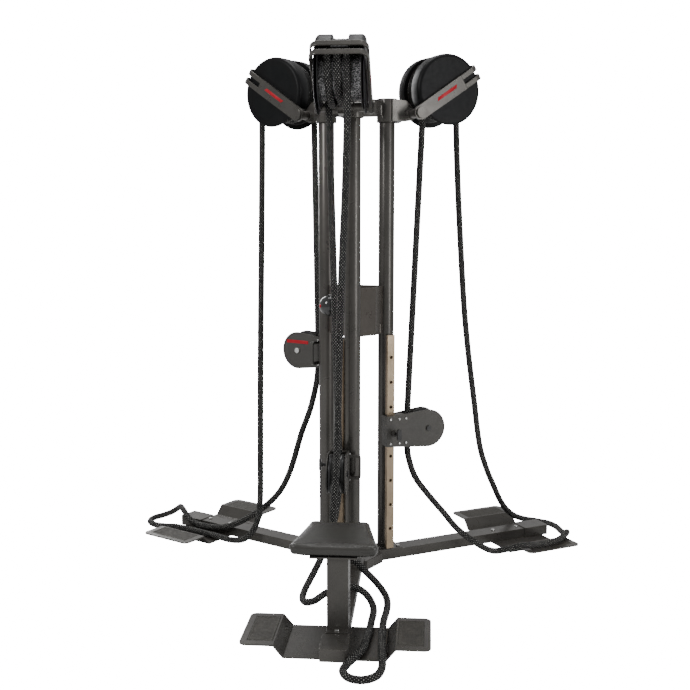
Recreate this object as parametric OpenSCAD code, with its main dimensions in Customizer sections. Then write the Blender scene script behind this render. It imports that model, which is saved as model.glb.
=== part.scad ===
// Three-station endless-rope trainer: three columns on a three-legged base. Each station
// has a covered rope drum at the top, a rail with a sliding guide sheave, and a foot plate.
// Origin: machine axis on the floor. +Z up. The front station points along -Y, and the
// right and left stations are the same parts turned 120 and 240 degrees about Z.
// Inside a station X is sideways (tangential) and -Y is outward (radial).

/* [Frame] */
// Outer radius of each column tube
column_r = 31.75; // [28:0.25:34]
// Distance from the machine axis to each column axis
column_reach = 139; // [134:1:144]
// Height of the column tops
column_top = 1868; // [1860:1:1880]
// Width of the leg tubes
leg_w = 76; // [70:1:80]
// Height of the leg tubes
leg_h = 40; // [36:1:42]
// Distance from the machine axis to the end of each leg
leg_reach = 938; // [900:1:960]

/* [Rail] */
// Radial width of each rail
rail_w = 32; // [28:1:34]
// Height of the rail's top end
rail_top = 945; // [930:1:960]
// Spacing of the rail's index holes
hole_pitch = 101.6; // [95:0.1:102]
// Height of the lowest index hole
hole_low = 144; // [140:1:150]

/* [Drum] */
// Distance from the machine axis to the drum axis
drum_reach = 360; // [356:1:362]
// Height of the drum axis
drum_z = 1910; // [1908:1:1916]
// Outer radius of the cover's two round ends
cover_r = 141; // [138:0.5:142]
// Half of the width of the drum cover
cover_half = 88; // [86:1:92]
// Rope diameter
rope_d = 26; // [24:0.5:26]

/* [Foot] */
// Total width of a foot plate
foot_w = 626; // [600:1:640]
// Radial length of a foot plate
foot_len = 256; // [250:1:260]

/* [Seat] */
// Height of the seat's top
seat_top = 345; // [335:1:360]
// Radial length of the seat
seat_len = 286; // [280:1:300]

/* [Hidden] */
$fn = 96;
eps = 0.01;

FRONT = 0;
RIGHT = 1;
LEFT = 2;

// Colours
charcoal = [0.24, 0.235, 0.23];
black = [0.05, 0.05, 0.055];
champagne = [0.60, 0.55, 0.46];
zinc = [0.72, 0.72, 0.72];

// Frame
leg_low = 6;
leg_top = leg_low + leg_h;
hub_apothem = 100;
hub_pad_r = 30;
flange_t = 8;
flange_bolts_x = [-26, 26];
flange_bolts_y = [-48, 48];
flange_bolt_r = 3.5;
foot_bolt_r = 4;
column_wall = 3;
knob_r = 42;
knob_stem_r = 14;
knob_z = 1070;

// Bent panels that tie the columns together
hub_corner_r = 135;
hub_side_r = 98;
hub_skin = 6.5;
mid_hub_low = 953;
mid_hub_high = 1142;
top_hub_low = 1808;
top_hub_high = 1862;
end_cap_len = 122;
end_cap_w = 92;

// Rail: it stands beside the column on a narrow web
rail_face = -54;
rail_back = -36;
rail_mid = 136;
rail_low = 60;
web_w = 10;
hole_r = 6.5;
hole_count = 8;
screw_r = 3.5;

// Drum
drum_x = -22;
wrap_r = 100;
barrel_r = wrap_r - rope_d / 2 - 1.8;
drum_half = 78;
shaft_r = 8;
bearing_r = 17;
cover_wall = 3.5;
band_half = 30;
band_r = 125.5;
plate_gap = 3;
plate_t = 12;
tube_reach = 224;
tube_z = 1817;
tube_r = 18;
arm_angle = 33;
arm_len = 228;
arm_w = 58;
guard_t = 6;
guard_start = 150;
guard_end = 318;
flange_disc_r = 116;
flange_disc_t = 4;

// Carriage: sheave between two plates, with a slider that hooks around the rail
sheave_reach = 296;
sheave_r = 74;
groove_r = 66;
cheek_r = 77;
cheek_t = 5;
sheave_x = -45;
cheek_half = 32;
slider_half = 62;
pin_drop = 6;
axle_r = 8;
slide_gap = 0.05;
throat_reach = 216;

carriage_bolts_y = [-190, -160, -120];
carriage_bolts_z = [-50, 50];

// Index hole that each carriage stands at, counted from the bottom
hole_index = [3, 4, 7];

// Feet: each plate is flat in the middle, and a ramp on either side leads to a raised wing
foot_mid = 780;
foot_flat = 336;
foot_t = 6;
foot_rise = 39;
ramp_w = 32;
foot_bolts_y = [-797, -675];
grip_t = 3;
grip_reach = 247;
grip_w = 86;
grip_len = 200;

// Seat
seat_back = 518;
seat_x = -13;
seat_w_back = 222;
seat_w_front = 323;
pad_t = 38;
board_t = 5;
post_reach = 735;
post_w = 72;
post_len = 90;
post_plate_t = 6;
seat_bolts_y = [-760, -600];

function carriage_z(k) = hole_low + hole_index[k] * hole_pitch + pin_drop;

module at_station(k) {
  rotate([0, 0, 120 * k]) children();
}

module at_all() {
  for (k = [FRONT, RIGHT, LEFT])
    at_station(k) children();
}

// A cylinder along X, centred on the origin
module x_cylinder(r, length) {
  rotate([0, 90, 0]) cylinder(r = r, h = length, center = true);
}

module rounded_square(w, d, r) {
  offset(r) square([w - 2 * r, d - 2 * r], center = true);
}

// ---------------------------------------------------------------- frame

// Six-sided outline with its corners alternately at two radii
module hub_outline(at_columns, between) {
  polygon([for (i = [0:5])
    let (r = i % 2 == 0 ? at_columns : between)
    [r * cos(60 * i - 90), r * sin(60 * i - 90)]]);
}

module hub_ring() {
  difference() {
    hub_outline(hub_corner_r, hub_side_r);
    hub_outline(hub_corner_r - hub_skin, hub_side_r - hub_skin);
  }
}

module hub_band(low, high) {
  color(charcoal) difference() {
    translate([0, 0, low]) linear_extrude(high - low) hub_ring();
    at_all() translate([0, -column_reach, low - 1]) cylinder(r = column_r, h = high - low + 2);
    at_all() translate([rail_back - 30, -column_reach - 10, low - 1]) cube([28, 60, 40]);
  }
}

module base_hub() {
  color(charcoal) {
    difference() {
      translate([0, 0, leg_low]) linear_extrude(leg_h) polygon([for (i = [0:5])
        let (r = hub_apothem / cos(30))
        [r * cos(60 * i), r * sin(60 * i)]]);
      translate([0, 0, leg_low - 1]) cylinder(r = 78, h = leg_h - 5);
    }
    // Levelling pad under the middle
    cylinder(r = hub_pad_r, h = leg_top - 3);
  }
}

module mid_hub() {
  difference() {
    hub_band(mid_hub_low, mid_hub_high);
    at_knob() translate([0, 0, -10]) cylinder(r = knob_stem_r, h = 30);
  }
}

module top_hub() {
  hub_band(top_hub_low, top_hub_high);
}

module hub_bolts() {
  color(zinc) at_all() for (x = flange_bolts_x, y = flange_bolts_y)
    translate([x, y - column_reach, leg_top + flange_t]) hex_bolt(8, 6);
}

// Hexagon head on the surface, with its shank below it
module hex_bolt(across, shank) {
  cylinder(r = across, h = 6, $fn = 6);
  translate([0, 0, -shank]) cylinder(r = across / 2 - 0.5, h = shank + eps);
}

module column(k) {
  color(charcoal) at_station(k) translate([0, -column_reach, 0]) {
    difference() {
      translate([0, 0, leg_top]) cylinder(r = column_r, h = column_top - leg_top);
      translate([0, 0, leg_top - 1]) cylinder(r = column_r - column_wall, h = column_top - leg_top - 4);
    }
    difference() {
      translate([-45, -60, leg_top]) cube([90, 120, flange_t]);
      translate([0, 0, leg_top - 1]) cylinder(r = column_r + slide_gap, h = 20);
      for (x = flange_bolts_x, y = flange_bolts_y)
        translate([x, y, leg_top - 1]) cylinder(r = flange_bolt_r, h = 20);
    }
  }
}

module leg(k) {
  color(charcoal) at_station(k) difference() {
    translate([-leg_w / 2, -leg_reach + 4, leg_low])
      cube([leg_w, leg_reach - 4 - hub_apothem, leg_h]);
    translate([-leg_w / 2 + 3, -leg_reach, leg_low + 3])
      cube([leg_w - 6, leg_reach - hub_apothem - 3, leg_h - 6]);
    for (x = flange_bolts_x, y = flange_bolts_y)
      translate([x, y - column_reach, leg_top - 4]) cylinder(r = flange_bolt_r, h = 6);
    for (y = foot_bolts_y)
      translate([0, y, leg_low - 1]) cylinder(r = foot_bolt_r, h = leg_h + 2);
  }
}

module leg_end_caps() {
  color(charcoal) at_all() translate([0, -leg_reach, 0]) difference() {
    translate([0, end_cap_len / 2, foot_t]) linear_extrude(leg_top + 3 - foot_t)
      rounded_square(end_cap_w, end_cap_len, 8);
    translate([-leg_w / 2, 4, foot_t - 1]) cube([leg_w, end_cap_len, leg_top + 1 - foot_t]);
  }
}

// ---------------------------------------------------------------- feet

// Side profile of a foot plate
module foot_profile() {
  flat = foot_flat / 2;
  polygon([
    [-foot_w / 2, foot_rise], [-flat - ramp_w, foot_rise], [-flat, 0],
    [flat, 0], [flat + ramp_w, foot_rise], [foot_w / 2, foot_rise],
    [foot_w / 2, foot_rise + foot_t], [flat + ramp_w - 2, foot_rise + foot_t], [flat - 3, foot_t],
    [3 - flat, foot_t], [2 - flat - ramp_w, foot_rise + foot_t], [-foot_w / 2, foot_rise + foot_t]]);
}

module foot_plate(k) {
  color(charcoal) at_station(k) difference() {
    translate([0, -foot_mid, 0]) intersection() {
      rotate([90, 0, 0]) linear_extrude(foot_len + 40, center = true) foot_profile();
      translate([0, 0, -5]) linear_extrude(80) rounded_square(foot_w, foot_len, 24);
    }
    for (s = [-1, 1]) at_grip(s) linear_extrude(10) offset(0.3) grip_outline();
    for (y = foot_bolts_y) translate([0, y, -1]) cylinder(r = foot_bolt_r, h = foot_t + 2);
  }
}

module grip_outline() {
  square([grip_w, grip_len], center = true);
}

// The floor of the pocket that holds a grip
module at_grip(s) {
  translate([s * grip_reach, -foot_mid, foot_rise + foot_t - grip_t]) children();
}

module foot_grips() {
  color(black) at_all() for (s = [-1, 1])
    at_grip(s) linear_extrude(grip_t - 0.6) grip_outline();
}

module foot_bolts() {
  color(zinc) for (k = [FRONT, RIGHT, LEFT], y = foot_bolts_y) {
    // The front station's bolts also hold the foot of the seat post
    head_z = leg_top + (k == FRONT ? post_plate_t : 0);
    at_station(k) translate([0, y, 0]) {
      translate([0, 0, head_z]) cylinder(r = 8, h = 5);
      translate([0, 0, 1]) cylinder(r = foot_bolt_r, h = head_z);
    }
  }
}

// ---------------------------------------------------------------- rails

module rail(k) {
  color(champagne) at_station(k) difference() {
    union() {
      translate([rail_face, -rail_mid - rail_w / 2, rail_low])
        cube([rail_back - rail_face, rail_w, rail_top - rail_low]);
      translate([rail_back - 1, -rail_mid - web_w / 2, rail_low])
        cube([8, web_w, rail_top - rail_low]);
    }
    translate([0, -column_reach, rail_low - 1]) cylinder(r = column_r, h = rail_top);
    for (i = [0:hole_count - 1])
      translate([rail_face, -rail_mid, hole_low + i * hole_pitch]) {
        x_cylinder(hole_r, 28);
        translate([0, 0, hole_pitch / 2]) x_cylinder(screw_r, 4);
      }
  }
}

module rail_screws() {
  color(zinc) at_all() for (i = [0:hole_count - 1])
    translate([rail_face + 1.2, -rail_mid, hole_low + (i + 0.5) * hole_pitch])
      x_cylinder(screw_r, 1.6);
}

// ---------------------------------------------------------------- drum head

// Side outline of a collar: clamped round the column, reaching out to the cross tube
module collar_outline() {
  polygon([[-column_reach, 1787], [-tube_reach - 6, 1793], [-tube_reach - 6, 1841],
    [-column_reach - 62, 1868], [-column_reach, 1872]]);
}

module collar(k) {
  color(charcoal) at_station(k) difference() {
    union() {
      translate([0, -column_reach, 1785]) cylinder(r = column_r + 9, h = 90);
      translate([12, 0, 0]) rotate([90, 0, -90]) linear_extrude(60) mirror([1, 0])
        collar_outline();
    }
    translate([0, -column_reach, 1780]) cylinder(r = column_r, h = 120);
    translate([0, -tube_reach, tube_z]) x_cylinder(tube_r, 300);
    // Room for the top hub, which reaches into the back of each collar
    translate([0, 0, top_hub_low - 0.1]) linear_extrude(top_hub_high - top_hub_low + 0.2) hub_ring();
  }
}

plate_in = cover_half + plate_gap;

module cross_tubes() {
  color(charcoal) at_all() translate([drum_x, -tube_reach, tube_z]) {
    difference() {
      x_cylinder(tube_r, 2 * plate_in);
      x_cylinder(tube_r - 3, 2 * plate_in - 20);
    }
    for (s = [-1, 1]) translate([s * (plate_in + plate_t + 4), 0, 0]) x_cylinder(22, 8);
  }
}

// One arm plate's outline from the side: X outward, Y up, cross tube at the origin
module arm_outline() {
  rotate(arm_angle) hull() {
    circle(r = arm_w / 2 - 2);
    translate([arm_len - 20, -arm_w / 2]) square([20, arm_w]);
  }
}

module arm_plates(k) {
  color(charcoal) at_station(k) for (s = [-1, 1])
    translate([drum_x + s * (plate_in + plate_t / 2), -tube_reach, tube_z]) difference() {
      rotate([90, 0, -90]) linear_extrude(plate_t, center = true) arm_outline();
      translate([0, tube_reach - drum_reach, drum_z - tube_z]) x_cylinder(shaft_r, 30);
    }
}

// A flat bar bent to a U, from the end of one arm plate to the other
module rope_guard() {
  half = plate_in + plate_t;
  depth = guard_end - guard_start;
  linear_extrude(20, center = true) difference() {
    translate([0, -depth / 2]) rounded_square(2 * half, depth, 32);
    translate([0, guard_t - depth / 2])
      rounded_square(2 * (half - guard_t), depth, 32 - guard_t);
    translate([-half - 1, guard_start - arm_len - slide_gap]) square([2 * half + 2, 120]);
  }
}

module rope_guards() {
  color(charcoal) at_all() translate([drum_x, -tube_reach, tube_z]) rotate([-arm_angle, 0, 0])
    for (s = [-1, 1]) translate([0, -guard_start, s * 19]) rope_guard();
}

// Half profile of the cover: X is the radius, Y is along the drum
module cover_profile(inset) {
  r = cover_r - inset;
  half = cover_half - inset;
  step = band_half + inset;
  shoulder = 16;
  for (s = [0, 1]) mirror([0, s]) {
    square([band_r - inset, half]);
    translate([0, step]) square([r - shoulder, half - step]);
    translate([0, step]) square([r, half - step - shoulder]);
    translate([r - shoulder, half - shoulder]) circle(r = shoulder);
  }
}

module half_plane() {
  translate([0, -200]) square([300, 400]);
}

module drum_cover(k) {
  color(black) at_station(k) translate([drum_x, -drum_reach, drum_z]) difference() {
    rotate([0, 90, 0]) rotate_extrude($fn = 128) intersection() {
      cover_profile(0);
      half_plane();
    }
    rotate([0, 90, 0]) rotate_extrude($fn = 128) intersection() {
      cover_profile(cover_wall);
      half_plane();
    }
    x_cylinder(shaft_r + 2, 300);
    // The cover is open in front of the drum and below it
    rotate([90, 0, -90]) linear_extrude(2 * (cover_half - cover_wall), center = true)
      polygon([[0, 0], [160 * cos(42), 160 * sin(42)], [200, 0], [200, -200], [-200, -200],
        [-160, -84]]);
  }
}

module drum_shafts() {
  color(zinc) at_all() translate([drum_x, -drum_reach, drum_z])
    x_cylinder(shaft_r, 2 * (plate_in + plate_t));
}

module drum_bearings() {
  color(zinc) at_all() translate([drum_x, -drum_reach, drum_z]) for (s = [-1, 1])
    translate([s * 62, 0, 0]) difference() {
      x_cylinder(bearing_r, 14);
      x_cylinder(shaft_r, 20);
    }
}

// A hollow barrel between two flange discs
module drum(k) {
  barrel_half = drum_half - flange_disc_t - slide_gap;
  color(black) at_station(k) translate([drum_x, -drum_reach, drum_z]) difference() {
    union() {
      x_cylinder(barrel_r, 2 * barrel_half);
      for (s = [-1, 1]) translate([s * (drum_half - flange_disc_t / 2), 0, 0])
        x_cylinder(flange_disc_r, flange_disc_t);
    }
    x_cylinder(bearing_r + slide_gap, 300);
    rotate([0, 90, 0]) rotate_extrude() translate([30, 4 - barrel_half])
      square([barrel_r - 38, 2 * (barrel_half - 4)]);
  }
}

// ---------------------------------------------------------------- seat

module seat_outline(inset) {
  offset(24) offset(-24 - inset) polygon([
    [-seat_w_back / 2, 0], [seat_w_back / 2, 0],
    [seat_w_front / 2, -seat_len], [-seat_w_front / 2, -seat_len]]);
}

module seat_post() {
  top = seat_top - pad_t - board_t - post_plate_t;
  color(charcoal) {
    // Foot, bolted to the leg
    difference() {
      translate([-post_w / 2, -813, leg_top]) cube([post_w, 158, post_plate_t]);
      for (y = foot_bolts_y)
        translate([0, y, leg_top - 1]) cylinder(r = foot_bolt_r, h = post_plate_t + 2);
    }
    translate([-post_w / 2, -post_reach - post_len / 2, leg_top + post_plate_t]) difference() {
      cube([post_w, post_len, top - leg_top - post_plate_t]);
      translate([3, 3, 3]) cube([post_w - 6, post_len - 6, top - leg_top - post_plate_t - 6]);
    }
    translate([seat_x - 80, -790, top]) cube([160, 220, post_plate_t]);
  }
}

module seat_board() {
  color(black) translate([seat_x, -seat_back, seat_top - pad_t - board_t])
    linear_extrude(board_t) seat_outline(26);
}

module seat_pad() {
  color(black) translate([seat_x, -seat_back, seat_top - pad_t]) linear_extrude(pad_t)
    seat_outline(0);
}

module seat_bolts() {
  color(zinc) for (x = [-60, 60], y = seat_bolts_y)
    translate([seat_x + x, y, seat_top - pad_t - board_t - post_plate_t])
      mirror([0, 0, 1]) cylinder(r = 8, h = 5);
}

// The knob's own frame: on the bend of the panel between the front and left columns
module at_knob() {
  rotate([0, 0, -60]) translate([0, -hub_side_r, knob_z]) rotate([90, 0, 0]) children();
}

module tension_knob() {
  color(black) at_knob() {
    translate([0, 0, -8]) cylinder(r = knob_stem_r, h = 22);
    translate([0, 0, 12]) rotate_extrude() intersection() {
      circle(r = knob_r);
      square(knob_r);
    }
  }
}

// ---------------------------------------------------------------- carriages

// Side outline of a carriage cheek: X outward from the machine axis, Y up
module cheek_outline(from) {
  hull() {
    translate([sheave_reach, 0]) circle(r = cheek_r);
    translate([from, -slider_half]) square([206 - from, 2 * slider_half]);
  }
}

module carriage(k) {
  color(charcoal) at_station(k) translate([0, 0, carriage_z(k)]) difference() {
    union() {
      side_plate(sheave_x - cheek_half - cheek_t, 105);
      side_plate(sheave_x + cheek_half, 176);
      // Slider body beside the rail, and the spacer that joins both cheeks
      translate([sheave_x - cheek_half, -198, -slider_half]) cube([43.5, 93, 2 * slider_half]);
      translate([sheave_x - cheek_half, -198, -slider_half])
        cube([2 * cheek_half, 24, 2 * slider_half]);
      translate([sheave_x - cheek_half - cheek_t - 9, -rail_mid, -pin_drop]) x_cylinder(13, 18);
      handle();
    }
    // Channel for the rail and its web
    translate([rail_face - slide_gap, -rail_mid - rail_w / 2 - slide_gap, -100])
      cube([rail_back - rail_face + 2 * slide_gap, rail_w + 2 * slide_gap, 200]);
    translate([rail_back - 1, -rail_mid - 9, -100]) cube([10, 18, 200]);
    translate([-100, -rail_mid, -pin_drop]) x_cylinder(6.05, 100);
    translate([sheave_x, -sheave_reach, 0]) x_cylinder(axle_r, 200);
    for (y = carriage_bolts_y, z = carriage_bolts_z)
      translate([sheave_x - cheek_half - cheek_t, y, z]) x_cylinder(3, 12);
  }
}

module side_plate(x, from) {
  translate([x + cheek_t, 0, 0]) rotate([90, 0, -90]) linear_extrude(cheek_t)
    cheek_outline(from);
}

// D-shaped lifting handle on the cheek beside the column
module handle() {
  translate([sheave_x + cheek_half + cheek_t, -190, 0]) rotate([90, 0, 0])
    linear_extrude(14, center = true) difference() {
      translate([18, 0]) rounded_square(56, 96, 14);
      translate([20, 0]) rounded_square(38, 76, 8);
      translate([-30, -60]) square([30 - 2, 120]);
    }
}

module sheave_axle(k) {
  color(zinc) at_station(k) translate([sheave_x, -sheave_reach, carriage_z(k)]) {
    x_cylinder(axle_r, 2 * (cheek_half + cheek_t));
    for (s = [-1, 1]) translate([s * (cheek_half + cheek_t + 3), 0, 0]) rotate([0, 90, 0])
      cylinder(r = 12, h = 6, center = true, $fn = 6);
    // Spacer washers keep the sheave off the cheeks
    for (s = [-1, 1]) translate([s * 30.2, 0, 0]) x_cylinder(15, 3.6);
  }
}

module sheave(k) {
  color(black) at_station(k) translate([sheave_x, -sheave_reach, carriage_z(k)])
    rotate([0, 90, 0]) rotate_extrude() difference() {
      translate([axle_r + slide_gap, -28]) square([sheave_r - axle_r - slide_gap, 56]);
      translate([groove_r, -14]) square([20, 28]);
      for (s = [0, 1]) mirror([0, s]) polygon([[groove_r, 14], [groove_r + 10, 14],
        [groove_r + 10, 20]]);
      for (s = [0, 1]) mirror([0, s]) translate([24, 16]) square([32, 20]);
    }
}

module pull_pin(k) {
  tip = rail_face - 0.5;
  color(zinc) at_station(k) translate([0, -rail_mid, carriage_z(k) - pin_drop]) {
    translate([tip - 36, 0, 0]) x_cylinder(6, 72);
    translate([tip - 64, 0, 0]) x_cylinder(9, 8);
    translate([tip - 72, 0, 0]) rotate([90, 0, 90]) linear_extrude(10, center = true)
      rounded_square(18, 46, 8);
  }
}

// ---------------------------------------------------------------- ropes

// Rope routes in a station's own frame, as points that a smooth curve passes through. The
// upper rope runs from the throat of the carriage to the back of the drum and around it.
// The lower rope runs from the throat to the floor, lies there in a slack loop, and rises
// to the front of the drum.
wrap_turns = 2.5;
wrap_first = -80;
wrap_last = 8;
wrap_step = 18;
ring_gap = 62;
rope_sides = 8;

lower_front = [
  [-45, -216, 455], [-45, -216, 400], [-50, -220, 330], [-64, -232, 245], [-88, -252, 170],
  [-115, -285, 105], [-142, -330, 56], [-160, -380, 26], [-162, -430, 14], [-145, -470, 15],
  [-112, -486, 28], [-75, -478, 52], [-35, -460, 67], [0, -446, 68], [30, -440, 66],
  [62, -440, 52], [88, -452, 30], [104, -490, 14], [108, -550, 13], [106, -620, 19],
  [104, -700, 20], [98, -790, 20], [90, -860, 20], [72, -915, 20], [48, -962, 14],
  [38, -1010, 13], [60, -1054, 13], [104, -1066, 13], [144, -1036, 13], [158, -984, 14],
  [158, -930, 22], [154, -870, 22], [150, -800, 24], [148, -720, 24], [148, -650, 24],
  [150, -590, 18], [154, -520, 13], [154, -450, 15], [142, -400, 28], [108, -372, 62],
  [60, -366, 112], [5, -374, 172], [-38, -384, 240], [-52, -388, 310], [-46, -388, 400],
  [-38, -388, 520], [-32, -398, 700], [-26, -415, 950], [-14, -435, 1250], [-2, -448, 1500],
  [6, -457, 1760], [8, -460, 1910]];

lower_right = [
  [-45, -216, 556], [-45, -216, 495], [-46, -224, 430], [-52, -254, 345], [-62, -315, 262],
  [-76, -378, 185], [-92, -430, 118], [-120, -500, 56], [-170, -556, 24], [-226, -592, 42],
  [-262, -640, 61], [-284, -720, 61], [-276, -800, 61], [-240, -872, 62], [-190, -930, 58],
  [-130, -968, 30], [-60, -1000, 14], [10, -1022, 13], [70, -1018, 13], [112, -985, 16],
  [128, -930, 28], [120, -870, 54], [96, -808, 100], [66, -752, 160], [42, -702, 235],
  [24, -650, 325], [14, -606, 440], [10, -572, 636], [8, -536, 860], [8, -510, 1080],
  [8, -480, 1460], [8, -464, 1740], [8, -460, 1910]];

lower_left = [
  [-45, -216, 861], [-45, -216, 800], [-44, -226, 720], [-41, -256, 610], [-36, -300, 500],
  [-26, -350, 340], [-6, -396, 238], [18, -470, 158], [40, -570, 88], [60, -660, 48],
  [67, -740, 36], [69, -820, 36], [67, -870, 54], [48, -915, 75], [12, -970, 76],
  [-16, -1016, 54], [-18, -1058, 28], [12, -1086, 15], [64, -1094, 13], [112, -1070, 13],
  [134, -1020, 13], [130, -960, 16], [118, -900, 21], [112, -830, 21], [110, -740, 20],
  [112, -650, 20], [110, -580, 18], [102, -520, 28], [90, -478, 62], [76, -452, 125],
  [64, -448, 215], [50, -456, 370], [34, -466, 600], [22, -470, 900], [12, -468, 1300],
  [8, -462, 1700], [8, -460, 1910]];

function lower_route(k) = [lower_front, lower_right, lower_left][k];

function throat(k) = [sheave_x, -throat_reach, round(carriage_z(k))];

function wrap_point(a) = [
  wrap_first + (wrap_last - wrap_first) * a / (360 * wrap_turns),
  -drum_reach + wrap_r * cos(a),
  drum_z + wrap_r * sin(a)];

function upper_points(k) =
  let (low = throat(k) + [0, 0, 66], high = wrap_point(0), count = ceil((high.z - low.z) / ring_gap))
  concat([throat(k)], [for (i = [0:count - 1]) low + (high - low) * i / count],
    [for (a = [0:wrap_step:360 * wrap_turns]) wrap_point(a)]);

// Smooth curve through the points, with a point about every ring_gap
function curve_at(a, b, c, d, t) = 0.5 * (2 * b + (c - a) * t
  + (2 * a - 5 * b + 4 * c - d) * t * t + (3 * b - a - 3 * c + d) * t * t * t);

function smooth(p) = concat([for (i = [0:len(p) - 2])
  let (a = p[max(i - 1, 0)], b = p[i], c = p[i + 1], d = p[min(i + 2, len(p) - 1)],
    n = max(1, round(norm(c - b) / ring_gap)))
  for (j = [0:n - 1]) curve_at(a, b, c, d, j / n)], [p[len(p) - 1]]);

function unit(v) = v / norm(v);

// Direction at each point. The two ends are cut square to the vertical.
function heading(p, i) = i == 0 ? unit([0, 0, sign(p[1].z - p[0].z)])
  : i == len(p) - 1 ? unit([0, 0, sign(p[i].z - p[i - 1].z)])
  : unit(p[i + 1] - p[i - 1]);

// One side direction for each point, carried along the curve without twisting
function sides(p) = [for (i = 0, u = [1, 0, 0]; i < len(p); i = i + 1,
  u = i < len(p) ? unit(u - (u * heading(p, i)) * heading(p, i)) : u) u];

module rope_tube(p) {
  side = sides(p);
  n = rope_sides;
  rings = len(p);
  points = [for (i = [0:rings - 1], j = [0:n - 1])
    let (u = side[i], v = cross(heading(p, i), u), a = 360 * j / n)
    p[i] + rope_d / 2 * (cos(a) * u + sin(a) * v)];
  walls = [for (i = [0:rings - 2], j = [0:n - 1])
    let (a = i * n + j, b = i * n + (j + 1) % n)
    each [[a, a + n, b], [b, a + n, b + n]]];
  ends = [[for (j = [0:n - 1]) j], [for (j = [n - 1:-1:0]) (rings - 1) * n + j]];
  polyhedron(points, concat(walls, ends));
}

module rope_upper(k) {
  color(black) at_station(k) rope_tube(upper_points(k));
}

module rope_lower(k) {
  color(black) at_station(k) rope_tube(smooth(lower_route(k)));
}

base_hub();
mid_hub();
top_hub();
hub_bolts();
leg_end_caps();
foot_grips();
foot_bolts();
rail_screws();
cross_tubes();
rope_guards();
drum_shafts();
drum_bearings();
seat_post();
seat_board();
seat_pad();
seat_bolts();
tension_knob();
column(FRONT);  // column_front
column(RIGHT);  // column_right
column(LEFT);  // column_left
leg(FRONT);  // leg_front
leg(RIGHT);  // leg_right
leg(LEFT);  // leg_left
foot_plate(FRONT);  // foot_plate_front
foot_plate(RIGHT);  // foot_plate_right
foot_plate(LEFT);  // foot_plate_left
rail(FRONT);  // rail_front
rail(RIGHT);  // rail_right
rail(LEFT);  // rail_left
collar(FRONT);  // collar_front
collar(RIGHT);  // collar_right
collar(LEFT);  // collar_left
arm_plates(FRONT);  // arm_plates_front
arm_plates(RIGHT);  // arm_plates_right
arm_plates(LEFT);  // arm_plates_left
drum_cover(FRONT);  // drum_cover_front
drum_cover(RIGHT);  // drum_cover_right
drum_cover(LEFT);  // drum_cover_left
drum(FRONT);  // drum_front
drum(RIGHT);  // drum_right
drum(LEFT);  // drum_left
carriage(FRONT);  // carriage_front
carriage(RIGHT);  // carriage_right
carriage(LEFT);  // carriage_left
sheave_axle(FRONT);  // sheave_axle_front
sheave_axle(RIGHT);  // sheave_axle_right
sheave_axle(LEFT);  // sheave_axle_left
sheave(FRONT);  // sheave_front
sheave(RIGHT);  // sheave_right
sheave(LEFT);  // sheave_left
pull_pin(FRONT);  // pull_pin_front
pull_pin(RIGHT);  // pull_pin_right
pull_pin(LEFT);  // pull_pin_left
rope_upper(FRONT);  // rope_upper_front
rope_upper(RIGHT);  // rope_upper_right
rope_upper(LEFT);  // rope_upper_left
rope_lower(FRONT);  // rope_lower_front
rope_lower(RIGHT);  // rope_lower_right
rope_lower(LEFT);  // rope_lower_left
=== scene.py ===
"""Looks of a three-station endless-rope trainer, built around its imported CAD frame."""

import math

import bpy
import numpy as np
from mathutils import Matrix, Vector


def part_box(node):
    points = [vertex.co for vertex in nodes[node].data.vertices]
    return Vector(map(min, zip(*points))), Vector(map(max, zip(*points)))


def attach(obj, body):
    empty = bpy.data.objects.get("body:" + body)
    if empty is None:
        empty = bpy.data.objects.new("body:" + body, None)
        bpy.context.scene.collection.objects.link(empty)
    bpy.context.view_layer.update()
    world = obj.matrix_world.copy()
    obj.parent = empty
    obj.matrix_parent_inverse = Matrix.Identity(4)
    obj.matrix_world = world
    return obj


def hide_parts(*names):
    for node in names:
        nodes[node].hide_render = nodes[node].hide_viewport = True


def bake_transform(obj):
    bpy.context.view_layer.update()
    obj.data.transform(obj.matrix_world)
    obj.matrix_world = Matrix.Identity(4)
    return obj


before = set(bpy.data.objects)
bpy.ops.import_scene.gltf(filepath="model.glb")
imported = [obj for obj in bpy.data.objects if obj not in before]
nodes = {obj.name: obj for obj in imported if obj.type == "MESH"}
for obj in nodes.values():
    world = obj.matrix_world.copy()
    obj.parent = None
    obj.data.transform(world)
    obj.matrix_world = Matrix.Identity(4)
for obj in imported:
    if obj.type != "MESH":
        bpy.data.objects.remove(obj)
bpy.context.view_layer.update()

# How far each station is turned about Z, in degrees. In a station's own frame X is sideways
# and -Y is outward, as in the CAD source.
STATIONS = {"front": 0, "right": 120, "left": 240}

# Rope
ROPE_R = 0.013
ROPE_SIDES = 24
ROPE_STEP = 0.0034
ROPE_LIFT = 0.0006
STRANDS = 8
STRAND_PITCH = 0.012
STRAND_RELIEF = 0.0011
STRAND_MEAN = 0.55
WRAP_R = 0.1
WRAP_TURNS = 2.5
WRAP_POINTS = 180
WRAP_FIRST = -0.08
WRAP_LAST = 0.008
DRUM_X = -0.022
DRUM_Y = -0.36
DRUM_Z = 1.91

# Carriages
SHEAVE_Y = -0.296
CHEEK_LEFT = -0.082
CHEEK_RIGHT = -0.008
THROAT_CLEAR = 0.066
RISE_POINTS = 200
SCREW_Z = (-0.05, 0.05)
LEFT_SCREW_Y = (-0.19, -0.16, -0.12)
RIGHT_SCREW_Y = -0.188

# Red bars: length, width, thickness, slant
ARM_BAR = (0.1, 0.012, 0.0012, 0.004)
ARM_BAR_PLACE = (0, -0.14, 0.004)
CHEEK_BAR = (0.112, 0.014, 0.0010, 0.0)
CHEEK_BAR_Z = 0.036
BAR_EDGE = 0.0004

# Arms that hold the drums
ARM_Y = -0.224
ARM_Z = 1.817
ARM_ANGLE = 33
ARM_FACE = 0.103
ARM_T = 0.012
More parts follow.
